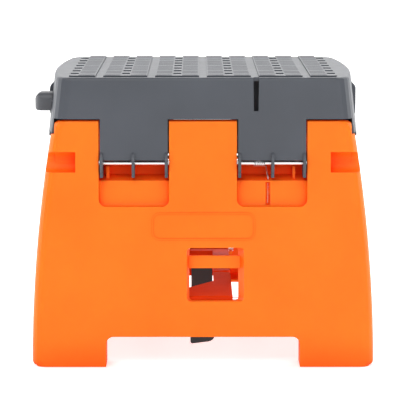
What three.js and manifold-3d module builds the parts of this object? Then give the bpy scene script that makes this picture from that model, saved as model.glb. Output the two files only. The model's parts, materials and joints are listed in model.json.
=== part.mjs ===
// Folding work stool / half-height sawhorse, in millimetres, +Z up.
// Origin: on the floor, at the centre of the object's outer box. Front is -Y, the end lug is at -X.
import * as THREE from 'three';
import { mergeVertices } from 'three/addons/utils/BufferGeometryUtils.js';
import Module from 'manifold-3d';

const wasm = await Module();
wasm.setup();

// ---------------------------------------------------------------- driving dimensions
const HEIGHT = 306.5;                // floor to the top of the tread ribs
const TOP_DEPTH = 250;               // platform, front to back, at the top edge
const TOP_HALF_WIDTH = 163.2;        // platform, at the middle of its bowed ends
const END_BOW = 10;                  // how far each end bulges
const TOP_CORNER_R = 17;
const SPLAY = THREE.MathUtils.degToRad(6.5);   // draft of the skirt and splay of the legs
const FOOT_HALF_WIDTH = 182.1;
const LEG_TAPER = 20.6;              // how much narrower the leg is at TAPER_HEIGHT
const TAPER_HEIGHT = 245;
const WALL = 3.2;                    // moulded wall thickness
const GAP = 0.4;                     // clearance between separate pieces

const TREAD_RISE = 1.5;
const DECK_Z = HEIGHT - TREAD_RISE;
const DECK_THICK = 4;
const RIM_R = 3;

const PIVOT_Z = { front: 214.5, rear: 182.5 };   // the rear hinge is lower so that its leg folds underneath
const PIVOT_DEPTH = 9;               // hinge axis behind the outer face
const LEG_DEPTH = 28;                // outer face to the open back of a leg
const TOWER_RISE = 46;               // leg tower above the hinge axis
const STOP_SETBACK = 24.2;           // stop webs behind the hinge axis, just clear of the towers' top corners
const SKIRT_RISE = 47;               // skirt's lower edge above the hinge axis
const SWING_R = 46.4;                // the tower's inner corner stays inside this radius
const END_WALL_Z = 240;              // lower edge of the end walls
const FOLD_BAY = 97;                 // half depth of the end walls between the legs

const ROD_R = 2.4;
const ROD_HALF = 134;
const LOBE_IN = 37.3;                // platform lobes, from the middle plane
const LOBE_OUT = 108.9;
const NOTCH_PLAY = 1.5;
const LOBE_WALL_BOTTOM = 3.8;        // lobe wall's lower edge above the hinge axis
const LUG_R = 14.4;
const LUG_THICK = 3;
const LUG_MIDDLE = 73.8;
const LEDGE_Z = -18.9;               // floor of the notch, below the hinge axis
const SCOOP_DROP = 27.5;             // height of the scoop below the ledge

const WINDOW = { x0: -17.5, x1: 44.1, z0: 69.5, z1: 126.2, r: 4 };
const WINDOW_DEPTH = 11.8;
const WINDOW_DRAFT = { left: 3, right: 6.5 };            // how far its sides lean in towards the back
const BAR = { z0: 104, z1: 117.2, y0: 8.4, y1: 14.4 };   // pull bar across the window
const BADGE = { x0: -54, x1: 55, z0: 134.5, z1: 163, r: 8, rise: 0.9, rim: 1.4 };
const CUTOUT = { half: 103, top: 31.9, r: 8 };
const FOOT_CORNER_R = 5;
const TOWER_CORNER_R = 11;
const EDGE_R = 12;                   // rounded upright edges of a leg
const SPRING_X = 54.2;
const SLIT = { x0: 66.4, x1: 71.5, z0: -44.8, z1: -20.7 };   // slot for the spring's arm in the scoop's wall

const BRACE_Z = 68;                  // brace hinge above the floor
const BRACE_DEPTH = 17;              // brace hinge behind the outer face
const BRACE_HALF = 32.4;
const BRACE_TIP = 4;                 // each half ends this far from the middle plane
const BRACE_PLATE = 3.4;
const BRACE_FLANGE = 7;
const BRACE_PIN_R = 2;
const RELEASE = { x0: -13.4, x1: 12.6, y0: 6.4, y1: 10.4, pivot: 57, pin: 1.5, barrel: 3.3 };
const RELEASE_SPAN = { front: [24, 64], rear: [14, 77] };   // lower and upper end above the floor

const BRACE_SLOT = { x0: -15.4, x1: 12.4, wall: 2.4 };   // a brace is two rails with this gap between them
const BRACE_SLOT_START = { front: [50, 85], rear: [16, 16] };   // where the gap starts, on its left and right

const END_LUG = { reach: 181.7, y0: -84, y1: -60, z0: 265.3, z1: 284.8, r: 9 };
const BOSS = { x: 167, half: 59.4, z0: 256, z1: 294, r: 8 };   // raised panel on each end wall
const TOWER_TRIM = { x: 157.4, swing: 31, depth: 3.4 };  // a front tower is narrower behind its face
const CORNER = { x: 158, y: 122, z: 246 };               // the end walls wrap round the front towers to here

// ---------------------------------------------------------------- solids
function toManifold(geometry) {
  const bare = geometry.clone();
  for (const name of Object.keys(bare.attributes)) {
    if (name !== 'position') bare.deleteAttribute(name);
  }
  const merged = mergeVertices(bare, 1e-4);
  return new wasm.Manifold(new wasm.Mesh({
    numProp: 3,
    vertProperties: Float32Array.from(merged.attributes.position.array),
    triVerts: Uint32Array.from(merged.index.array),
  }));
}

function toGeometry(manifold) {
  const mesh = manifold.getMesh();
  const geometry = new THREE.BufferGeometry();
  geometry.setAttribute('position', new THREE.BufferAttribute(Float32Array.from(mesh.vertProperties), 3));
  geometry.setIndex(new THREE.BufferAttribute(Uint32Array.from(mesh.triVerts), 1));
  geometry.computeVertexNormals();
  return geometry;
}

function box(x0, x1, y0, y1, z0, z1) {
  const geometry = new THREE.BoxGeometry(x1 - x0, y1 - y0, z1 - z0);
  geometry.translate((x0 + x1) / 2, (y0 + y1) / 2, (z0 + z1) / 2);
  return toManifold(geometry);
}

// A cylinder along X around the line (y, z).
function rodX(x0, x1, y, z, radius, segments = 20) {
  const geometry = new THREE.CylinderGeometry(radius, radius, x1 - x0, segments);
  geometry.rotateZ(Math.PI / 2);
  geometry.translate((x0 + x1) / 2, y, z);
  return toManifold(geometry);
}

function extruded(shape, depth, curveSegments = 5) {
  return new THREE.ExtrudeGeometry(shape, { depth, bevelEnabled: false, curveSegments });
}

// A shape drawn in (x, z), extruded along Y from y0 to y1.
function slabY(shape, y0, y1, curveSegments = 5) {
  const geometry = extruded(shape, y1 - y0, curveSegments);
  geometry.rotateX(Math.PI / 2);
  geometry.translate(0, y1, 0);
  return toManifold(geometry);
}

// A shape drawn in (x, y), extruded along Z from z0 to z1.
function slabZ(shape, z0, z1, curveSegments = 5) {
  const geometry = extruded(shape, z1 - z0, curveSegments);
  geometry.translate(0, 0, z0);
  return toManifold(geometry);
}

// A shape drawn in (y, z), extruded along X from x0 to x1.
function slabX(shape, x0, x1, curveSegments = 5) {
  const geometry = extruded(shape, x1 - x0, curveSegments);
  const axes = new THREE.Matrix4().makeBasis(
    new THREE.Vector3(0, 1, 0), new THREE.Vector3(0, 0, 1), new THREE.Vector3(1, 0, 0));
  geometry.applyMatrix4(axes);
  geometry.translate(x0, 0, 0);
  return toManifold(geometry);
}

function polygon(points) {
  return new THREE.Shape(points.map(([a, b]) => new THREE.Vector2(a, b)));
}

function roundedRect(a0, a1, b0, b1, r) {
  const shape = new THREE.Shape();
  shape.moveTo(a0 + r, b0);
  shape.lineTo(a1 - r, b0);
  shape.absarc(a1 - r, b0 + r, r, -Math.PI / 2, 0);
  shape.lineTo(a1, b1 - r);
  shape.absarc(a1 - r, b1 - r, r, 0, Math.PI / 2);
  shape.lineTo(a0 + r, b1);
  shape.absarc(a0 + r, b1 - r, r, Math.PI / 2, Math.PI);
  shape.lineTo(a0, b0 + r);
  shape.absarc(a0 + r, b0 + r, r, Math.PI, Math.PI * 1.5);
  return shape;
}

// A closed solid through rings of equal length; each ring runs counter-clockwise seen from the last ring.
function loft(rings) {
  const count = rings[0].length;
  const positions = rings.flat().flatMap((p) => [p.x, p.y, p.z]);
  const index = [];
  for (let ring = 0; ring + 1 < rings.length; ring += 1) {
    for (let i = 0; i < count; i += 1) {
      const j = (i + 1) % count;
      const a = ring * count + i;
      const b = ring * count + j;
      index.push(a, b, b + count, a, b + count, a + count);
    }
  }
  const last = (rings.length - 1) * count;
  for (let i = 1; i + 1 < count; i += 1) {
    index.push(0, i + 1, i);
    index.push(last, last + i, last + i + 1);
  }
  const geometry = new THREE.BufferGeometry();
  geometry.setAttribute('position', new THREE.Float32BufferAttribute(positions, 3));
  geometry.setIndex(index);
  return toManifold(geometry);
}

function union(solids) {
  return solids.reduce((whole, solid) => whole.add(solid));
}

// ---------------------------------------------------------------- platform
// Plan outline of the platform, grown outwards by `grow`: straight front and back, bowed ends.
function planOutline(grow) {
  const halfDepth = TOP_DEPTH / 2 + grow;
  const halfWidth = TOP_HALF_WIDTH + grow;
  const r = TOP_CORNER_R;
  const edge = (y) => halfWidth - END_BOW * (y / halfDepth) ** 2;
  const quarter = [];
  const bowSteps = 4;
  for (let i = 0; i <= bowSteps; i += 1) {
    const y = (halfDepth - r) * i / bowSteps;
    quarter.push([edge(y), y]);
  }
  const cornerX = edge(halfDepth - r) - r;
  const cornerSteps = 5;
  for (let i = 1; i <= cornerSteps; i += 1) {
    const angle = (Math.PI / 2) * i / cornerSteps;
    quarter.push([cornerX + r * Math.cos(angle), halfDepth - r + r * Math.sin(angle)]);
  }
  const back = quarter.map(([x, y]) => [-x, y]).reverse();
  const left = quarter.slice(1).map(([x, y]) => [-x, -y]);
  const front = quarter.slice(1).map(([x, y]) => [x, -y]).reverse();
  return [...quarter, ...back, ...left, ...front];
}

function flare(z) {
  return (DECK_Z - z) * Math.tan(SPLAY);
}

// The platform's outer form from the deck down to zLow, moved outwards by `grow`.
function platformForm(grow, zLow, zTop, rim) {
  const ring = (z, inset) => planOutline(flare(z) + grow - inset).map(([x, y]) => new THREE.Vector3(x, y, z));
  const rings = [ring(zLow, 0)];
  const steps = rim > 0 ? 3 : 0;
  for (let i = 0; i <= steps; i += 1) {
    const angle = steps ? (Math.PI / 2) * i / steps : 0;
    rings.push(ring(zTop - rim * (1 - Math.sin(angle)), rim * (1 - Math.cos(angle))));
  }
  return loft(rings);
}

// Depth of the outer face in front of the middle plane at height z.
function faceDepth(z) {
  return TOP_DEPTH / 2 + flare(z);
}

function pivotDepth(side) {
  return faceDepth(PIVOT_Z[side]) - PIVOT_DEPTH / Math.cos(SPLAY);
}

// Removes the skirt below its lower edge on one side, keeping the two hinge lobes.
function skirtCuts(side) {
  const sign = side === 'front' ? -1 : 1;
  const pivotZ = PIVOT_Z[side];
  const far = TOP_DEPTH;
  const span = (x0, x1, zTop) => {
    const [y0, y1] = [sign * FOLD_BAY, sign * far].sort((a, b) => a - b);
    return box(x0, x1, y0, y1, 0, zTop);
  };
  const skirtZ = pivotZ + SKIRT_RISE;
  const cuts = [
    span(-LOBE_IN, LOBE_IN, skirtZ),
    span(LOBE_OUT, 2 * LOBE_OUT, skirtZ),
    span(-2 * LOBE_OUT, -LOBE_OUT, skirtZ),
    span(-2 * LOBE_OUT, 2 * LOBE_OUT, pivotZ + LOBE_WALL_BOTTOM),
  ];
  if (side === 'rear') return cuts;
  const wrap = [[CORNER.x, 2 * LOBE_OUT], [-2 * LOBE_OUT, -CORNER.x]].map(([x0, x1]) => (
    box(x0, x1, -CORNER.y, -FOLD_BAY + 1, CORNER.z, HEIGHT)));
  return cuts.map((cut) => cut.subtract(union(wrap)));
}

// Rounded lugs on the lobes that carry the hinge rod.
function hingeLugs(side) {
  const sign = side === 'front' ? -1 : 1;
  const y = sign * pivotDepth(side);
  const z = PIVOT_Z[side];
  const form = platformForm(0, z - 2 * LUG_R, z + 2 * LUG_R, 0);
  const starts = [LOBE_IN, LUG_MIDDLE - LUG_THICK / 2, LOBE_OUT - LUG_THICK];
  const lugs = [];
  for (const start of starts) {
    for (const x0 of [start, -start - LUG_THICK]) {
      const round = rodX(x0, x0 + LUG_THICK, y, z, LUG_R, 24);
      const [y0, y1] = [y, y + sign * 2 * LUG_R].sort((a, b) => a - b);
      const root = box(x0, x0 + LUG_THICK, y0, y1, z - LUG_R, z + LUG_R);
      lugs.push(round.add(root.intersect(form)));
    }
  }
  return lugs;
}

// Crosswise webs under the deck; the leg towers rest against them when the legs are open.
function stopWebs(side) {
  const sign = side === 'front' ? -1 : 1;
  const face = pivotDepth(side) - STOP_SETBACK;
  const [y0, y1] = [sign * face, sign * (face - WALL)].sort((a, b) => a - b);
  const z0 = PIVOT_Z[side] + 26;
  const reach = TOP_HALF_WIDTH;
  return [
    box(BRACE_HALF + 2, reach, y0, y1, z0, DECK_Z - 1),
    box(-reach, -BRACE_HALF - 2, y0, y1, z0, DECK_Z - 1),
  ];
}

function deckRibs() {
  const ribs = [];
  const low = DECK_Z - DECK_THICK - 10;
  const pitch = 34;
  for (let i = -4; i <= 4; i += 1) {
    const x = i * pitch;
    ribs.push(box(x - 1.25, x + 1.25, -TOP_DEPTH / 2, TOP_DEPTH / 2, low, DECK_Z - 1));
  }
  for (let i = -2; i <= 2; i += 1) {
    const y = i * pitch;
    ribs.push(box(-TOP_HALF_WIDTH, TOP_HALF_WIDTH, y - 1.25, y + 1.25, low, DECK_Z - 1));
  }
  return ribs;
}

// Raised tread: pairs of long bands joined by cross bars like ladders, smooth channels between the pairs.
function tread() {
  const pitch = 27.4;
  const band = 19;
  const end = TOP_DEPTH / 2 - 7;
  const bars = 8;
  const barPitch = (2 * end) / bars;
  const barLength = 17;
  const solids = [];
  const addBand = (x0, x1) => solids.push(box(x0, x1, -end, end, DECK_Z - 0.5, HEIGHT));
  const addBars = (x0, x1) => {
    for (let i = 0; i < bars; i += 1) {
      const y = -end + barPitch * i;
      solids.push(box(x0, x1, y, y + barLength, DECK_Z - 0.5, HEIGHT));
    }
  };
  const bands = 10;
  const first = -pitch * (bands - 1) / 2;
  for (let i = 0; i < bands; i += 1) {
    const x = first + pitch * i;
    addBand(x - band / 2, x + band / 2);
    const joinsNext = i % 2 === 1 && i + 1 < bands;
    if (joinsNext) addBars(x + band / 2 - 0.1, x + pitch - band / 2 + 0.1);
  }
  const edge = -first + band / 2;
  addBars(edge - 0.1, edge + 9);
  addBars(-edge - 9, -edge + 0.1);
  return union(solids).intersect(platformForm(-6, DECK_Z - 1, HEIGHT + 1, 0));
}

// Raised panel on each bowed end: upright face, rounded upper edge, chamfered lower edge.
function endBosses() {
  const profile = new THREE.Shape();
  profile.moveTo(TOP_HALF_WIDTH - 10, BOSS.z0);
  profile.lineTo(BOSS.x - 3, BOSS.z0);
  profile.lineTo(BOSS.x, BOSS.z0 + 4);
  profile.lineTo(BOSS.x, BOSS.z1 - BOSS.r);
  profile.absarc(BOSS.x - BOSS.r, BOSS.z1 - BOSS.r, BOSS.r, 0, Math.PI / 2);
  profile.lineTo(TOP_HALF_WIDTH - 10, BOSS.z1);
  const right = slabY(profile, -BOSS.half, BOSS.half);
  return [right, right.mirror([1, 0, 0])];
}

function platform() {
  const lowest = PIVOT_Z.rear - LUG_R;
  const outer = platformForm(0, lowest, DECK_Z, RIM_R);
  const hollow = platformForm(-WALL, lowest - 1, DECK_Z - DECK_THICK, 0);
  const inside = platformForm(-1, lowest, DECK_Z - 1, 0);
  let shell = outer.subtract(hollow);
  shell = union([shell, ...endBosses()]);
  shell = shell.subtract(hollow);
  shell = shell.add(union(deckRibs()).intersect(inside));
  const cuts = [...skirtCuts('front'), ...skirtCuts('rear')];
  cuts.push(box(-2 * TOP_HALF_WIDTH, 2 * TOP_HALF_WIDTH, -FOLD_BAY - 1, FOLD_BAY + 1, 0, END_WALL_Z));
  const slotShape = polygon([[53.7, 269.8], [58.6, 269.8], [59.2, HEIGHT + 1], [53.1, HEIGHT + 1]]);
  const skirtSlot = slabY(slotShape, -TOP_DEPTH, -TOP_DEPTH / 2 + 4);
  shell = shell.subtract(union(cuts));
  const webs = union([...stopWebs('front'), ...stopWebs('rear')]).intersect(inside);
  shell = union([shell, webs, ...hingeLugs('front'), ...hingeLugs('rear'), tread()]);
  shell = shell.subtract(skirtSlot);
  for (const side of ['front', 'rear']) {
    const y = (side === 'front' ? -1 : 1) * pivotDepth(side);
    shell = shell.subtract(rodX(-ROD_HALF, ROD_HALF, y, PIVOT_Z[side], ROD_R + GAP));
  }
  const screw = lugScrewAxis();
  return shell.subtract(rodX(-2 * TOP_HALF_WIDTH, -TOP_HALF_WIDTH + 20, screw.y, screw.z, 2.4, 16));
}

function lugScrewAxis() {
  return { y: (END_LUG.y0 + END_LUG.y1) / 2, z: (END_LUG.z0 + END_LUG.z1) / 2 };
}

// Compact lug on the left end: flat below, rounded above and outwards, trimmed to lie against the end wall.
function endLug() {
  const l = END_LUG;
  const inner = TOP_HALF_WIDTH - 8;
  const profile = new THREE.Shape();
  profile.moveTo(-inner, l.z0);
  profile.lineTo(-inner, l.z1);
  profile.lineTo(-l.reach + l.r, l.z1);
  profile.absarc(-l.reach + l.r, l.z1 - l.r, l.r, Math.PI / 2, Math.PI);
  profile.lineTo(-l.reach, l.z0 + 2);
  profile.lineTo(-l.reach + 2, l.z0);
  const upright = slabY(profile, l.y0, l.y1);
  const plan = slabZ(roundedRect(-l.reach, -inner + 10, l.y0, l.y1, 10), l.z0 - 1, l.z1 + 1);
  const crown = slabX(roundedRect(l.y0, l.y1, l.z0 - 20, l.z1, 8), -l.reach - 1, -inner + 10);
  const screw = lugScrewAxis();
  return upright.intersect(plan).intersect(crown)
    .subtract(platformForm(GAP, l.z0 - 5, l.z1 + 5, 0))
    .subtract(rodX(-l.reach + 4, 0, screw.y, screw.z, 2.4, 16));
}

// Pan-head screw driven outwards through the end wall into the lug.
function lugScrew() {
  const { y, z } = lugScrewAxis();
  const head = rodX(-158.6, -155.6, y, z, 4.2, 20);
  const shank = rodX(-176, -158, y, z, 1.9, 12);
  const drive = box(-156.8, -154, y - 3, y + 3, z - 0.5, z + 0.5);
  return head.add(shank).subtract(drive);
}

// ---------------------------------------------------------------- legs
// Legs are drawn in their own frame: origin on the hinge axis, +z up the leg, -y out of the outer face.
const FACE = -PIVOT_DEPTH;
const BACK = LEG_DEPTH - PIVOT_DEPTH;

function legZ(side, height, depth = 0) {
  return (height - PIVOT_Z[side] + (FACE + depth) * Math.sin(SPLAY)) / Math.cos(SPLAY);
}

function legHalfWidth(height) {
  return FOOT_HALF_WIDTH - LEG_TAPER * (height / TAPER_HEIGHT) ** 2;
}

// How far the foot's rounded lower corner pulls the side in at this height.
function footRound(height) {
  const rise = Math.min(Math.max(height, 0), FOOT_CORNER_R);
  return FOOT_CORNER_R - Math.sqrt(FOOT_CORNER_R ** 2 - (FOOT_CORNER_R - rise) ** 2);
}

// Outline of a leg in (x, z), pulled in by `side inset` on its sides and `edge inset` at top and bottom.
function legOutline(side, sideInset, edgeInset) {
  const bottom = legZ(side, -6) + edgeInset;
  const top = TOWER_RISE - edgeInset;
  const r = TOWER_CORNER_R;
  const right = [];
  const addRow = (z) => {
    const height = PIVOT_Z[side] + z * Math.cos(SPLAY);
    right.push([legHalfWidth(Math.max(height, 0)) - footRound(height) - sideInset, z]);
  };
  addRow(bottom);
  const cornerSteps = 4;
  for (let i = 0; i <= cornerSteps; i += 1) {
    const rise = FOOT_CORNER_R * (1 - Math.cos((Math.PI / 2) * i / cornerSteps));
    addRow(legZ(side, 0) + 1 + rise + edgeInset);
  }
  const [, start] = right[right.length - 1];
  const steps = 11;
  for (let i = 1; i <= steps; i += 1) {
    addRow(start + (top - r - start) * i / steps);
  }
  const [cornerX] = right[right.length - 1];
  for (let i = 1; i <= 4; i += 1) {
    const angle = (Math.PI / 2) * i / 4;
    right.push([cornerX - r + r * Math.cos(angle), top - r + r * Math.sin(angle)]);
  }
  const left = right.map(([x, z]) => [-x, z]).reverse();
  return [...right, ...left];
}

// The outer form of a leg between two depths, with its upright outer edges rounded.
function legForm(side, inset, yFront, yBack, edgeRadius) {
  const ring = (y, sideInset, edgeInset) => legOutline(side, inset + sideInset, inset + edgeInset)
    .map(([x, z]) => new THREE.Vector3(x, y, z));
  const rings = [];
  const steps = 5;
  for (let i = 0; i <= steps; i += 1) {
    const angle = (Math.PI / 2) * i / steps;
    const drop = edgeRadius * (1 - Math.cos(angle));
    const round = edgeRadius * (1 - Math.sin(angle));
    rings.push(ring(yFront + drop, round, round / 4));
  }
  rings.push(ring(yBack, 0, 0));
  return loft(rings.reverse());
}

// The space that is kept open through a leg, grown by `grow`: two lobe notches and the arch between the feet.
function legVoids(side, grow) {
  const z = (height) => legZ(side, height);
  const y0 = FACE - 1;
  const y1 = BACK + 1;
  const archHalf = CUTOUT.half + grow;
  const arch = roundedRect(-archHalf, archHalf, z(-80), z(CUTOUT.top) + grow, CUTOUT.r + grow);
  const voids = [slabY(arch, y0, y1)];
  const x0 = LOBE_IN - NOTCH_PLAY;
  const x1 = LOBE_OUT + NOTCH_PLAY;
  const webTop = 0.5;
  for (const [a, b] of [[x0, x1], [-x1, -x0]]) {
    voids.push(box(a - grow, b + grow, y0, BACK - WALL + grow, LEDGE_Z - grow, TOWER_RISE + 20));
    voids.push(box(a - grow, b + grow, y0, y1, webTop - grow, TOWER_RISE + 20));
  }
  return union(voids);
}

// Sloped floor and one upright rib inside each notch, in front of its back web.
function notchFloor() {
  const low = LEDGE_Z - 0.5;
  const high = LEDGE_Z + 6.4;
  const ramp = polygon([[0, low], [BACK - 1, low], [BACK - 1, high], [BACK - WALL, high]]);
  const x0 = LOBE_IN - NOTCH_PLAY;
  const x1 = LOBE_OUT + NOTCH_PLAY;
  const solids = [];
  for (const [a, b] of [[x0, x1], [-x1, -x0]]) {
    solids.push(slabX(ramp, a - 0.5, b + 0.5));
  }
  for (const [a, b] of [[95.4, 98.2], [-103, -99.5]]) {
    solids.push(box(a, b, 5, BACK - 1, low, -4));
  }
  return solids;
}

// Pocket below each notch, open at the top: its back wall leans out towards a rounded bottom.
function scoops(grow) {
  const depth = PIVOT_DEPTH;
  const lowDepth = 6;
  const r = 4;
  const cornerR = 5;
  const x0 = LOBE_IN - NOTCH_PLAY;
  const x1 = LOBE_OUT + NOTCH_PLAY;
  const pockets = [];
  for (const [a, b] of [[x0, x1], [-x1, -x0]]) {
    const upright = roundedRect(a - grow, b + grow, LEDGE_Z - SCOOP_DROP - grow, LEDGE_Z + 12, 8 + grow);
    const floorCurve = new THREE.Shape();
    const low = LEDGE_Z - SCOOP_DROP - grow;
    floorCurve.moveTo(FACE - 1, low);
    floorCurve.lineTo(FACE + 1, low);
    floorCurve.absarc(FACE + lowDepth - r + grow, low + r, r, -Math.PI / 2, 0);
    floorCurve.lineTo(FACE + depth + grow, LEDGE_Z);
    floorCurve.lineTo(FACE + depth + grow, LEDGE_Z + 12);
    floorCurve.lineTo(FACE - 1, LEDGE_Z + 12);
    const plan = roundedRect(a - grow, b + grow, FACE - 2 * cornerR, FACE + depth + grow, cornerR + grow);
    pockets.push(slabY(upright, FACE - 1, FACE + depth + grow)
      .intersect(slabX(floorCurve, a - grow, b + grow))
      .intersect(slabZ(plan, low - 1, LEDGE_Z + 12)));
  }
  return union(pockets);
}

// Half-round recess in each outer side of a leg, with a round mouth, where the hinge rod's end is reached.
function rodRecesses(grow) {
  const right = rodX(135 - grow, FOOT_HALF_WIDTH, FACE + 1.5, 0.85, 11 + grow, 28);
  const mouth = rodX(157 - grow, FOOT_HALF_WIDTH, FACE + 5, 3, 8.5 + grow, 24);
  const solid = right.add(mouth);
  return solid.add(solid.mirror([1, 0, 0]));
}

// The window's opening: its sides lean in towards the back of its frame.
function windowVoid(side, grow) {
  const w = WINDOW;
  const z0 = legZ(side, w.z0) - grow;
  const z1 = legZ(side, w.z1) + grow;
  const ring = (y, left, right) => roundedRect(w.x0 + left - grow, w.x1 - right + grow, z0, z1, w.r + grow)
    .getPoints(5).slice(0, -1).map((p) => new THREE.Vector3(p.x, y, p.y));
  return loft([
    ring(BACK + 1, WINDOW_DRAFT.left, WINDOW_DRAFT.right),
    ring(FACE + WINDOW_DEPTH, WINDOW_DRAFT.left, WINDOW_DRAFT.right),
    ring(FACE - 1, 0, 0),
  ]);
}

// Ribs inside a leg: tower walls for the rod, side walls of the narrowed front towers, and diagonals.
function legRibs(side) {
  const z = (height) => legZ(side, height);
  const y0 = FACE + 1;
  const ribs = [];
  for (const x of [123, -126]) {
    ribs.push(box(x, x + WALL, y0, BACK - 4, LEDGE_Z - 20, TOWER_RISE - 1));
  }
  for (const x of [LOBE_OUT, -LOBE_OUT - WALL]) {
    const x0 = x + NOTCH_PLAY * Math.sign(x);
    ribs.push(box(x0, x0 + WALL, y0, BACK, z(CUTOUT.top), LEDGE_Z));
  }
  if (side === 'front') {
    for (const x of [TOWER_TRIM.x - WALL, -TOWER_TRIM.x]) {
      ribs.push(box(x, x + WALL, y0, BACK, 14, TOWER_RISE - 1));
    }
  }
  for (const sign of [-1, 1]) {
    const foot = [sign * 150, z(14)];
    const head = [sign * 58, z(132)];
    const across = 1.6;
    const diagonal = polygon([
      [foot[0] - across, foot[1]], [foot[0] + across, foot[1]],
      [head[0] + across, head[1]], [head[0] - across, head[1]],
    ]);
    ribs.push(slabY(diagonal, y0, BACK - 8));
  }
  return ribs;
}

// Lugs inside a leg for the brace pin and for the release tab's pin.
function legLugs(side) {
  const z = (height) => legZ(side, height);
  const lugs = [];
  const braceY = FACE + BRACE_DEPTH;
  const braceZ = legZ(side, BRACE_Z, BRACE_DEPTH);
  for (const x0 of [BRACE_HALF + GAP, -BRACE_HALF - GAP - 3.6]) {
    const plate = box(x0, x0 + 3.6, FACE + 1, braceY, braceZ - 6, braceZ + 6);
    lugs.push(plate.add(rodX(x0, x0 + 3.6, braceY, braceZ, 6, 20)).subtract(
      rodX(x0 - 1, x0 + 5, braceY, braceZ, BRACE_PIN_R + GAP, 16)));
  }
  const releaseY = FACE + (RELEASE.y0 + RELEASE.y1) / 2;
  const releaseZ = z(RELEASE.pivot);
  for (const x0 of [RELEASE.x1 + 0.6, RELEASE.x0 - 3.6]) {
    const plate = box(x0, x0 + 3, FACE + 1, releaseY + 4, releaseZ - 4, releaseZ + 4);
    lugs.push(plate.subtract(rodX(x0 - 1, x0 + 4, releaseY, releaseZ, RELEASE.pin + GAP, 16)));
  }
  return lugs;
}

function badgeRim(side) {
  const b = BADGE;
  const z = (height) => legZ(side, height);
  const outline = roundedRect(b.x0, b.x1, z(b.z0), z(b.z1), b.r);
  const inner = roundedRect(b.x0 + b.rim, b.x1 - b.rim, z(b.z0) + b.rim, z(b.z1) - b.rim, b.r - b.rim);
  return slabY(outline, FACE - b.rise, FACE + 1).subtract(slabY(inner, FACE - b.rise - 1, FACE + 2));
}

function leg(side) {
  const z = (height) => legZ(side, height);
  const outer = legForm(side, 0, FACE, BACK, EDGE_R);
  const cavity = legForm(side, WALL, FACE + WALL, BACK + 1, EDGE_R - WALL);
  const windowFrame = windowVoid(side, WALL).intersect(
    box(-200, 200, FACE, FACE + WINDOW_DEPTH, z(0), z(200)));
  const solid = union([legVoids(side, WALL), scoops(WALL), rodRecesses(WALL), windowFrame]);
  let body = outer.subtract(cavity.subtract(solid));
  body = union([body, ...legRibs(side).map((rib) => rib.intersect(outer)), ...legLugs(side)]);
  const sole = box(-200, 200, FACE - 5, BACK + 5, z(CUTOUT.top) - 40, legZ(side, 3.6, LEG_DEPTH));
  body = body.add(sole.intersect(outer));
  body = body.subtract(union([legVoids(side, 0), scoops(0), rodRecesses(0), windowVoid(side, 0)]));
  const bar = box(WINDOW.x0 - 1, WINDOW.x1 + 1, FACE + BAR.y0, FACE + BAR.y1, z(BAR.z0), z(BAR.z1));
  body = union([body, bar, ...notchFloor()]);
  if (side === 'front') body = body.add(badgeRim(side));

  const swing = rodX(-220, 220, 0, 0, SWING_R, 64);
  const overhead = box(-220, 220, 0, BACK + 5, 20, TOWER_RISE + 20).subtract(swing);
  const cuts = [overhead, rodX(-ROD_HALF - 5, ROD_HALF + 5, 0, 0, ROD_R + GAP)];
  cuts.push(box(SLIT.x0, SLIT.x1, FACE, FACE + PIVOT_DEPTH + 8, SLIT.z0, SLIT.z1));
  cuts.push(box(SLIT.x0, SLIT.x1, WALL + 0.4, 8, LEDGE_Z - 8, LEDGE_Z + 8));
  if (side === 'front') {
    const kept = rodX(-220, 220, 0, 0, TOWER_TRIM.swing, 48);
    for (const [x0, x1] of [[TOWER_TRIM.x, 220], [-220, -TOWER_TRIM.x]]) {
      cuts.push(box(x0, x1, FACE + TOWER_TRIM.depth, BACK + 1, 0, TOWER_RISE + 1).subtract(kept));
    }
  }
  const tabX0 = RELEASE.x0 - 3;
  const tabX1 = RELEASE.x1 + 3;
  const passage = side === 'rear' ? BACK + 1 : FACE + 18;
  cuts.push(box(tabX0, tabX1, FACE + WALL, passage, z(CUTOUT.top) - 2, z(CUTOUT.top) + 6));
  if (side === 'rear') cuts.push(box(tabX0, tabX1, FACE + WALL, BACK, z(WINDOW.z0) - 6, z(WINDOW.z0) + 3));
  body = body.subtract(union(cuts));

  const floor = box(-220, 220, -80, 80, -60, 0);
  const tilt = THREE.MathUtils.radToDeg(SPLAY);
  const under = floor.translate([0, 0, -PIVOT_Z[side]]).rotate([tilt, 0, 0]);
  return body.subtract(under);
}

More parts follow.
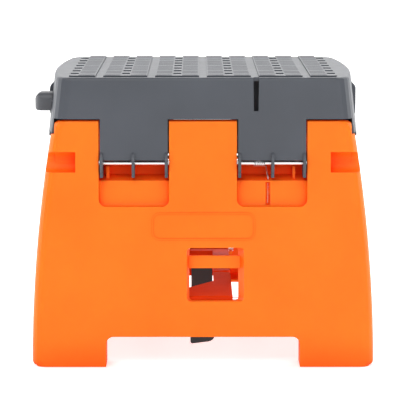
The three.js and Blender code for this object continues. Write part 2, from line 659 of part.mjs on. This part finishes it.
// ---------------------------------------------------------------- braces and release tabs
// Each brace half is drawn level: origin on its own hinge pin, +y towards the middle of the stool.
function brace(side) {
  const hingeY = faceDepth(BRACE_Z) - BRACE_DEPTH / Math.cos(SPLAY);
  const length = hingeY - BRACE_TIP;
  const half = BRACE_HALF - 0.6;
  const plateTop = 1.7;
  const under = plateTop - BRACE_PLATE;
  const noseZ = under - BRACE_FLANGE;
  const outline = new THREE.Shape();
  const r = 6;
  const slot = BRACE_SLOT;
  const [slotLeftY, slotRightY] = BRACE_SLOT_START[side];
  outline.moveTo(-half, 3);
  outline.lineTo(half, 3);
  outline.lineTo(half, length - r);
  outline.absarc(half - r, length - r, r, 0, Math.PI / 2);
  outline.lineTo(slot.x1, length);
  outline.lineTo(slot.x1, slotRightY);
  outline.lineTo(slot.x0, slotLeftY);
  outline.lineTo(slot.x0, length);
  outline.lineTo(-half + r, length);
  outline.absarc(-half + r, length - r, r, Math.PI / 2, Math.PI);
  let body = slabZ(outline, noseZ, plateTop);
  const channelStart = 14;
  const channels = [[-half + slot.wall, slot.x0 - slot.wall], [slot.x1 + slot.wall, half - slot.wall]];
  for (const [x0, x1] of channels) {
    body = body.subtract(box(x0, x1, channelStart, length + 5, noseZ - 1, under));
  }
  body = body.subtract(box(-40, 40, -5, channelStart, noseZ - 1, under));
  body = body.add(rodX(-half, half, 0, 0, 4.2, 20));
  return body.subtract(rodX(-40, 40, 0, 0, BRACE_PIN_R + GAP, 16));
}

// Black release tab: a flat lever on its own pin, drawn in the leg's frame.
function releaseTab(side) {
  const z = (height) => legZ(side, height);
  const t = RELEASE;
  const [bottom, top] = RELEASE_SPAN[side];
  const y0 = FACE + t.y0;
  const y1 = FACE + t.y1;
  const shape = new THREE.Shape();
  shape.moveTo(t.x0 + 1.5, z(bottom));
  shape.lineTo(t.x1 - 7, z(bottom + 2.2));
  shape.quadraticCurveTo(t.x1 - 1, z(bottom + 2.8), t.x1, z(bottom + 9));
  shape.lineTo(t.x1, z(top));
  shape.lineTo(t.x0, z(top));
  shape.lineTo(t.x0, z(bottom + 1.5));
  const plate = slabY(shape, y0, y1, 4);
  const barrel = rodX(t.x0, t.x1, (y0 + y1) / 2, z(t.pivot), t.barrel, 20);
  return plate.add(barrel).subtract(rodX(t.x0 - 1, t.x1 + 1, (y0 + y1) / 2, z(t.pivot), t.pin + GAP, 16));
}

// ---------------------------------------------------------------- hinge hardware
// Torsion spring: a coil around the rod, one arm down into the leg and one arm inwards.
function torsionSpring() {
  const wire = 0.8;
  const coilR = ROD_R + GAP + wire;
  const turns = 6;
  const pitch = 2.1;
  const perTurn = 12;
  const points = [];
  points.push(new THREE.Vector3(SPRING_X, 13.5, -coilR));
  points.push(new THREE.Vector3(SPRING_X, 6, -coilR));
  const steps = turns * perTurn;
  for (let i = 0; i <= steps; i += 1) {
    const angle = -Math.PI / 2 - (2 * Math.PI) * i / perTurn;
    const x = SPRING_X + pitch * i / perTurn;
    points.push(new THREE.Vector3(x, coilR * Math.cos(angle), coilR * Math.sin(angle)));
  }
  const armX = (SLIT.x0 + SLIT.x1) / 2;
  points.push(new THREE.Vector3(armX - 1.8, 2.2, -5.4));
  points.push(new THREE.Vector3(armX - 1, 5.2, -9.6));
  points.push(new THREE.Vector3(armX, 5.6, -15));
  points.push(new THREE.Vector3(armX, 5.6, -43));
  const path = new THREE.CatmullRomCurve3(points, false, 'centripetal');
  const circle = new THREE.Shape();
  circle.absarc(0, 0, wire, 0, 2 * Math.PI);
  return toManifold(new THREE.ExtrudeGeometry(circle, {
    steps: 110, extrudePath: path, curveSegments: 3, bevelEnabled: false,
  }));
}

function hingeRod() {
  return rodX(-ROD_HALF + 0.5, ROD_HALF - 0.5, 0, 0, ROD_R, 20);
}

// Push-on cap at each end of a hinge rod, between the outer rib and the rod's end.
function rodCap(sign) {
  const inner = 126.8;
  const [x0, x1] = [sign * inner, sign * (inner + 4.2)].sort((a, b) => a - b);
  return rodX(x0, x1, 0, 0, 5, 16).subtract(rodX(x0 - 1, x1 + 1, 0, 0, ROD_R + GAP));
}

function straightPin(halfLength, radius) {
  return rodX(-halfLength, halfLength, 0, 0, radius, 16);
}

// ---------------------------------------------------------------- scene graph
const GREY = { color: 0x62666e, roughness: 0.5, metalness: 0 };
const DARK_GREY = { color: 0x54565b, roughness: 0.55, metalness: 0 };
const ORANGE = { color: 0xff7f1e, roughness: 0.42, metalness: 0 };
const BLACK = { color: 0x101012, roughness: 0.5, metalness: 0 };
const STEEL = { color: 0xd8d8dc, roughness: 0.25, metalness: 1 };

function piece(name, manifold, look) {
  const mesh = new THREE.Mesh(toGeometry(manifold), new THREE.MeshStandardMaterial(look));
  mesh.name = name;
  return mesh;
}

const object = new THREE.Group();
object.add(piece('platform', platform(), GREY));
object.add(piece('end_lug', endLug(), DARK_GREY));
object.add(piece('end_lug_screw', lugScrew(), STEEL));

// One side of the stool: the leg with its brace, tab and hinge hardware, all in a frame on the hinge axis.
function sideGroup(side) {
  const turn = side === 'front' ? 0 : Math.PI;
  const mirror = side === 'front' ? 1 : -1;
  const outer = new THREE.Group();
  outer.rotation.z = turn;
  const frame = new THREE.Group();
  frame.position.set(0, -pivotDepth(side), PIVOT_Z[side]);
  frame.rotation.x = -SPLAY;
  outer.add(frame);
  // Features off the middle plane keep the same x on both sides, so the rear leg is the front leg mirrored.
  const flip = (manifold) => (mirror > 0 ? manifold : manifold.mirror([1, 0, 0]));
  frame.add(piece(`leg_${side}`, flip(leg(side)), ORANGE));
  frame.add(piece(`hinge_rod_${side}`, hingeRod(), STEEL));
  frame.add(piece(`rod_cap_${side}_left`, rodCap(-mirror), BLACK));
  frame.add(piece(`rod_cap_${side}_right`, rodCap(mirror), BLACK));
  frame.add(piece(`torsion_spring_${side}`, flip(torsionSpring()), STEEL));
  frame.add(piece(`release_tab_${side}`, flip(releaseTab(side)), BLACK));

  const tabPin = piece(`release_pin_${side}`, flip(straightPin(16.6, RELEASE.pin)), STEEL);
  tabPin.position.set(-0.4 * mirror, FACE + (RELEASE.y0 + RELEASE.y1) / 2, legZ(side, RELEASE.pivot));
  frame.add(tabPin);

  const hinge = new THREE.Group();
  hinge.position.set(0, FACE + BRACE_DEPTH, legZ(side, BRACE_Z, BRACE_DEPTH));
  hinge.rotation.x = SPLAY;
  hinge.add(piece(`brace_${side}`, flip(brace(side)), ORANGE));
  hinge.add(piece(`brace_pin_${side}`, straightPin(BRACE_HALF + 5.4, BRACE_PIN_R), STEEL));
  frame.add(hinge);
  return outer;
}

object.add(sideGroup('front'));
object.add(sideGroup('rear'));

export default object;
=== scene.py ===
"""Folding work stool / half-height sawhorse: looks, light and camera, in metres, in the CAD frame (+Z up)."""
import json
import math

import bmesh
import bpy
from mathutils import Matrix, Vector


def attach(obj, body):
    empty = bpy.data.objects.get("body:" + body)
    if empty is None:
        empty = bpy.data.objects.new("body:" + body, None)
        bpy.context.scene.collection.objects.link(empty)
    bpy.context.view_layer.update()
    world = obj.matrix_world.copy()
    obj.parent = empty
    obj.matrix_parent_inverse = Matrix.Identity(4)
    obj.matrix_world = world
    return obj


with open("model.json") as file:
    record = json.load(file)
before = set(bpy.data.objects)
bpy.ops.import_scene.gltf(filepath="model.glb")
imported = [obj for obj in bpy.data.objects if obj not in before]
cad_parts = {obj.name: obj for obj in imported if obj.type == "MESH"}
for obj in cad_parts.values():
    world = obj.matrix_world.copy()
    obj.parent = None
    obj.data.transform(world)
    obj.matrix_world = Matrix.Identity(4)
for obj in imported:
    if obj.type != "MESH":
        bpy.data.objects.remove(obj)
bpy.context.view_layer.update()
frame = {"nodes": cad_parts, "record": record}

POCKET_REACH = 0.06                 # how far a face looks for neighbours that make it a pocket
POCKET_RANGE = (0.22, 0.88)         # openness at which the painted pocket shade is full, and at which it is gone
# specular level far inside pockets, cut as part of the painted shade
POCKET_SHADE_SPECULAR = 0.02
GLOW_RADIUS = (0.010, 0.002, 0.0006)    # how far red, green and blue light spread inside the orange plastic
PLASTIC_IOR = 1.49

SHARP_PLASTIC_ANGLE = math.radians(28)
SHARP_STEEL_ANGLE = math.radians(40)
EDGE_WIDTHS = {
    "grey_plastic": 0.0007,
    "dark_grey_plastic": 0.0006,
    "orange_plastic": 0.0008,
    "black_plastic": 0.0005,
}

TREAD_TOP = 0.30645                 # foot of the grip ridges, just inside the tread bands
BAND_COUNT = 10
BAND_PITCH = 0.0274
RIDGE_ROWS = 8
RIDGE_ROW_PITCH = 0.0295
FIRST_RIDGE_ROW = -0.1095
RIDGE_OFFSETS = (-0.0065, 0.0065)   # two ridges to a row, on either side of its middle
RIDGE_LENGTH = 0.0165
RIDGE_WIDTH = 0.0020
RIDGE_RISE = 0.0004


# ---------------------------------------------------------------- node helpers
def new_material(name):
    material = bpy.data.materials.new(name)
    material.use_nodes = True
    nodes = material.node_tree.nodes
    return material, nodes, material.node_tree.links, nodes["Principled BSDF"]


def noise(nodes, links, coords, scale, detail=2.0, roughness=0.5, stretch=None):
    """A noise texture in object space; scale is in waves per metre."""
    vector = coords.outputs["Object"]
    if stretch:
        mapping = nodes.new("ShaderNodeMapping")
        mapping.inputs["Scale"].default_value = stretch
        links.new(vector, mapping.inputs["Vector"])
        vector = mapping.outputs["Vector"]
    texture = nodes.new("ShaderNodeTexNoise")
    texture.inputs["Scale"].default_value = scale
    texture.inputs["Detail"].default_value = detail
    texture.inputs["Roughness"].default_value = roughness
    links.new(vector, texture.inputs["Vector"])
    return texture.outputs["Fac"]


def ramp(nodes, links, factor, stops):
    """A colour ramp; stops are (position, (r, g, b))."""
    node = nodes.new("ShaderNodeValToRGB")
    elements = node.color_ramp.elements
    while len(elements) < len(stops):
        elements.new(0.5)
    for element, (position, colour) in zip(elements, stops):
        element.position = position
        element.color = (*colour, 1.0)
    links.new(factor, node.inputs["Fac"])
    return node.outputs["Color"]


def ranged(nodes, links, value, low, high, start=0.0, end=1.0):
    """Maps a value between start and end to the range from low to high, and holds it there outside them."""
    node = nodes.new("ShaderNodeMapRange")
    node.inputs["From Min"].default_value = start
    node.inputs["From Max"].default_value = end
    node.inputs["To Min"].default_value = low
    node.inputs["To Max"].default_value = high
    links.new(value, node.inputs["Value"])
    return node.outputs["Result"]


def bump(nodes, links, height, strength, distance, under=None):
    node = nodes.new("ShaderNodeBump")
    node.inputs["Strength"].default_value = strength
    node.inputs["Distance"].default_value = distance
    links.new(height, node.inputs["Height"])
    if under is not None:
        links.new(under, node.inputs["Normal"])
    return node.outputs["Normal"]


# ---------------------------------------------------------------- materials
def openness(nodes, links, reach, start, end):
    """1 on open faces, 0 far inside narrow pockets; it masks the painted pocket shade."""
    node = nodes.new("ShaderNodeAmbientOcclusion")
    node.inputs["Distance"].default_value = reach
    node.samples = 8
    return ranged(nodes, links, node.outputs["AO"], 0.0, 1.0, start, end)


def blended(nodes, links, factor, first, colour):
    """A fixed first colour where the factor is 0, the linked colour where it is 1."""
    mix = nodes.new("ShaderNodeMix")
    mix.data_type = "RGBA"
    colours = [socket for socket in mix.inputs if socket.type == "RGBA"]
    links.new(factor, mix.inputs["Factor"])
    colours[0].default_value = (*first, 1.0)
    links.new(colour, colours[1])
    return [socket for socket in mix.outputs if socket.type == "RGBA"][0]


def moulded_plastic(name, dark, base, light, rough_low, rough_high, grain=0.25, specular=0.5, pocket_shade=None):
    """Injection-moulded plastic: slow colour drift, fine spark-eroded grain and faint flow waviness.

    Given a shade colour, narrow pockets are painted in it and lose their shine: painted shade where little
    light reaches them.
    """
    material, nodes, links, shader = new_material(name)
    coords = nodes.new("ShaderNodeTexCoord")
    drift = noise(nodes, links, coords, 14.0, 3.0)
    colour = ramp(nodes, links, drift, [(0.3, dark), (0.5, base), (0.72, light)])
    shader.inputs["Specular IOR Level"].default_value = specular
    # Painted shade: narrow pockets take the shade colour and lose most of their specular.
    if pocket_shade:
        open_here = openness(nodes, links, POCKET_REACH, *POCKET_RANGE)
        colour = blended(nodes, links, open_here, pocket_shade, colour)
        shine = ranged(nodes, links, open_here, POCKET_SHADE_SPECULAR, specular)
        links.new(shine, shader.inputs["Specular IOR Level"])
        shader.inputs["Subsurface Weight"].default_value = 0.25
        shader.inputs["Subsurface Radius"].default_value = GLOW_RADIUS
        shader.inputs["Subsurface Scale"].default_value = 1.0
    links.new(colour, shader.inputs["Base Color"])
    scuffs = noise(nodes, links, coords, 90.0, 6.0, 0.65)
    links.new(ranged(nodes, links, scuffs, rough_low, rough_high), shader.inputs["Roughness"])
    waviness = bump(nodes, links, noise(nodes, links, coords, 22.0, 1.0), 0.25, 0.0006)
    fine = bump(nodes, links, noise(nodes, links, coords, 1500.0, 2.0, 0.6), grain, 0.00012, waviness)
    links.new(fine, shader.inputs["Normal"])
    shader.inputs["IOR"].default_value = PLASTIC_IOR
    return material


def drawn_steel(name, base, bright, rough_low, rough_high, along):
    """Bright drawn wire or rod: fine lines along it, and slightly uneven polish."""
    material, nodes, links, shader = new_material(name)
    coords = nodes.new("ShaderNodeTexCoord")
    lines = noise(nodes, links, coords, 900.0, 3.0, 0.6, stretch=along)
    links.new(ramp(nodes, links, lines, [(0.35, base), (0.65, bright)]), shader.inputs["Base Color"])
    links.new(ranged(nodes, links, lines, rough_low, rough_high), shader.inputs["Roughness"])
    links.new(bump(nodes, links, lines, 0.2, 0.00005), shader.inputs["Normal"])
    shader.inputs["Metallic"].default_value = 1.0
    return material


# The orange's darker, redder pocket colour is painted shade for its narrow pockets.
ORANGE = moulded_plastic(
    "orange_plastic", (0.90, 0.170, 0.003), (0.95, 0.181, 0.004), (0.98, 0.193, 0.005), 0.44, 0.56,
    grain=0.22, specular=0.26, pocket_shade=(1.0, 0.055, 0.006))
# A darker, duller copy of the orange plastic, used as painted shade on the braces.
SHADED_ORANGE = moulded_plastic(
    "orange_plastic_painted_shade", (0.62, 0.035, 0.002), (0.68, 0.042, 0.002), (0.74, 0.050, 0.003), 0.50, 0.62,
    grain=0.22, specular=0.06)
GREY = moulded_plastic(
    "grey_plastic", (0.063, 0.069, 0.082), (0.069, 0.076, 0.091), (0.076, 0.083, 0.099), 0.40, 0.54,
    grain=0.35, specular=0.45)
DARK_GREY = moulded_plastic(
    "dark_grey_plastic", (0.070, 0.073, 0.082), (0.080, 0.084, 0.094), (0.090, 0.095, 0.106), 0.40, 0.55,
    grain=0.30)
BLACK = moulded_plastic(
    "black_plastic", (0.006, 0.006, 0.007), (0.009, 0.009, 0.010), (0.013, 0.013, 0.014), 0.35, 0.50,
    grain=0.25)
STEEL = drawn_steel(
    "steel", (0.80, 0.80, 0.82), (0.93, 0.93, 0.94), 0.20, 0.34, (0.02, 1.0, 1.0))
SPRING_STEEL = drawn_steel(
    "spring_steel", (0.66, 0.66, 0.68), (0.84, 0.84, 0.85), 0.18, 0.32, (1.0, 1.0, 1.0))

LOOKS = {
    "grey_plastic": GREY,
    "dark_grey_plastic": DARK_GREY,
    "orange_plastic": ORANGE,
    "black_plastic": BLACK,
    "steel": STEEL,
    "spring_steel": SPRING_STEEL,
}
# The braces stand in the shade between the legs, so they are given a darker and duller copy of the orange:
# painted shade on the same plastic.
NODE_LOOKS = {
    "brace_front": SHADED_ORANGE,
    "brace_rear": SHADED_ORANGE,
}


# ---------------------------------------------------------------- the CAD nodes
def soften(obj, width):
    """Shades the faces smooth between sharp edges, and rounds those edges a little with modifiers."""
    mesh = obj.data
    mesh.polygons.foreach_set("use_smooth", [True] * len(mesh.polygons))
    mesh.set_sharp_from_angle(angle=SHARP_PLASTIC_ANGLE)
    flatten = obj.modifiers.new("flat_faces", "DECIMATE")
    flatten.decimate_type = "DISSOLVE"
    flatten.angle_limit = math.radians(0.4)
    bevel = obj.modifiers.new("moulded_edges", "BEVEL")
    bevel.width = width
    bevel.segments = 3
    bevel.limit_method = "ANGLE"
    bevel.angle_limit = math.radians(35)
    bevel.use_clamp_overlap = True
    bevel.harden_normals = True
    bevel.miter_outer = "MITER_ARC"


def dress_cad_nodes():
    slots = {part["node"]: part["material_slot"] for part in frame["record"]["subparts"]}
    for name, obj in frame["nodes"].items():
        obj.data.materials.clear()
        obj.data.materials.append(NODE_LOOKS.get(name, LOOKS[slots[name]]))
        if slots[name] in EDGE_WIDTHS:
            soften(obj, EDGE_WIDTHS[slots[name]])
        else:
            obj.data.polygons.foreach_set("use_smooth", [True] * len(obj.data.polygons))
            obj.data.set_sharp_from_angle(angle=SHARP_STEEL_ANGLE)


# ---------------------------------------------------------------- fine moulded relief
def low_ridge(build, x_middle, y_middle, z_base, length, width, rise):
    """A low ridge along X with sloped flanks, standing on a flat face."""
    half = length / 2
    rows = []
    for x in (x_middle - half, x_middle + half):
        profile = ((-width / 2, 0.0), (-width / 5, rise), (width / 5, rise), (width / 2, 0.0))
        rows.append([build.verts.new((x, y_middle + dy, z_base + dz)) for dy, dz in profile])
    left, right = rows
    for i in range(4):
        j = (i + 1) % 4
        build.faces.new((left[i], left[j], right[j], right[i]))
    build.faces.new(left[::-1])
    build.faces.new(right)


def make_tread_ridges():
    """Fine grip ridges across every tread band, in step with the ladder bars between the bands."""
    build = bmesh.new()
    for band in range(BAND_COUNT):
        x = BAND_PITCH * (band - (BAND_COUNT - 1) / 2)
        for row in range(RIDGE_ROWS):
            for offset in RIDGE_OFFSETS:
                y = FIRST_RIDGE_ROW + RIDGE_ROW_PITCH * row + offset
                low_ridge(build, x, y, TREAD_TOP, RIDGE_LENGTH, RIDGE_WIDTH, RIDGE_RISE)
    mesh = bpy.data.meshes.new("tread_ridges")
    bmesh.ops.recalc_face_normals(build, faces=build.faces)
    build.to_mesh(mesh)
    build.free()
    ridges = bpy.data.objects.new("tread_ridges", mesh)
    bpy.context.scene.collection.objects.link(ridges)
    mesh.materials.append(GREY)
    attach(ridges, "platform_body")


# ---------------------------------------------------------------- camera, light and floor
def make_camera():
    data = bpy.data.cameras.new("camera")
    data.lens = 158.4
    data.sensor_width = 36.0
    camera = bpy.data.objects.new("camera", data)
    camera.location = (-0.0063, -1.9741, 0.4936)
    camera.rotation_euler = (math.radians(80.2), 0.0, math.radians(-0.098))
    bpy.context.scene.collection.objects.link(camera)
    bpy.context.scene.camera = camera


def area_light(name, location, target, size, power):
    data = bpy.data.lights.new(name, "AREA")
    data.shape = "RECTANGLE"
    data.size, data.size_y = size
    data.energy = power
    light = bpy.data.objects.new(name, data)
    light.location = location
    aim = Vector(target) - Vector(location)
    light.rotation_euler = aim.to_track_quat("-Z", "Y").to_euler()
    bpy.context.scene.collection.objects.link(light)


def make_lights():
    middle = (0.0, 0.0, 0.15)
    area_light("key", (-0.5, -1.7, 2.1), middle, (1.6, 1.2), 30.0)
    area_light("fill", (0.9, -2.2, 0.9), middle, (1.6, 1.6), 10.0)
    area_light("side_left", (-1.5, 0.5, 0.6), middle, (1.2, 1.4), 16.0)
    area_light("side_right", (1.5, 0.5, 0.6), middle, (1.2, 1.4), 16.0)
    area_light("top_back", (0.0, 1.5, 1.6), (0.0, 0.0, 0.3), (2.2, 1.0), 14.0)
    world = bpy.data.worlds.new("studio")
    world.use_nodes = True
    background = world.node_tree.nodes["Background"]
    background.inputs["Color"].default_value = (1.0, 1.0, 1.0, 1.0)
    background.inputs["Strength"].default_value = 0.30
    bpy.context.scene.world = world
    bpy.context.scene.view_settings.view_transform = "Standard"


def white_paper(name, glow):
    """Matt white studio paper with a slight tone drift; the glow keeps it white to the edge of the frame."""
    material, nodes, links, shader = new_material(name)
    coords = nodes.new("ShaderNodeTexCoord")
    tone = noise(nodes, links, coords, 3.0, 2.0)
    links.new(ramp(nodes, links, tone, [(0.3, (0.93, 0.93, 0.93)), (0.7, (0.95, 0.95, 0.95))]),
              shader.inputs["Base Color"])
    shader.inputs["Roughness"].default_value = 0.9
    shader.inputs["Specular IOR Level"].default_value = 0.1
    shader.inputs["Emission Color"].default_value = (1.0, 1.0, 1.0, 1.0)
    shader.inputs["Emission Strength"].default_value = glow
    return material


def stage_sheet(name, size, location, tilt, material):
    mesh = bpy.data.meshes.new(name)
    build = bmesh.new()
    bmesh.ops.create_grid(build, x_segments=1, y_segments=1, size=size)
    build.to_mesh(mesh)
    build.free()
    sheet = bpy.data.objects.new(name, mesh)
    sheet.location = location
    sheet.rotation_euler.x = tilt
    bpy.context.scene.collection.objects.link(sheet)
    mesh.materials.append(material)


def make_stage():
    stage_sheet("floor", 6.0, (0.0, 0.0, -0.0005), 0.0, white_paper("floor_paper", 0.45))
    stage_sheet("backdrop", 3.0, (0.0, 3.2, 2.5), math.radians(90.0), white_paper("backdrop_paper", 1.0))


dress_cad_nodes()
make_tread_ridges()
make_camera()
make_lights()
make_stage()
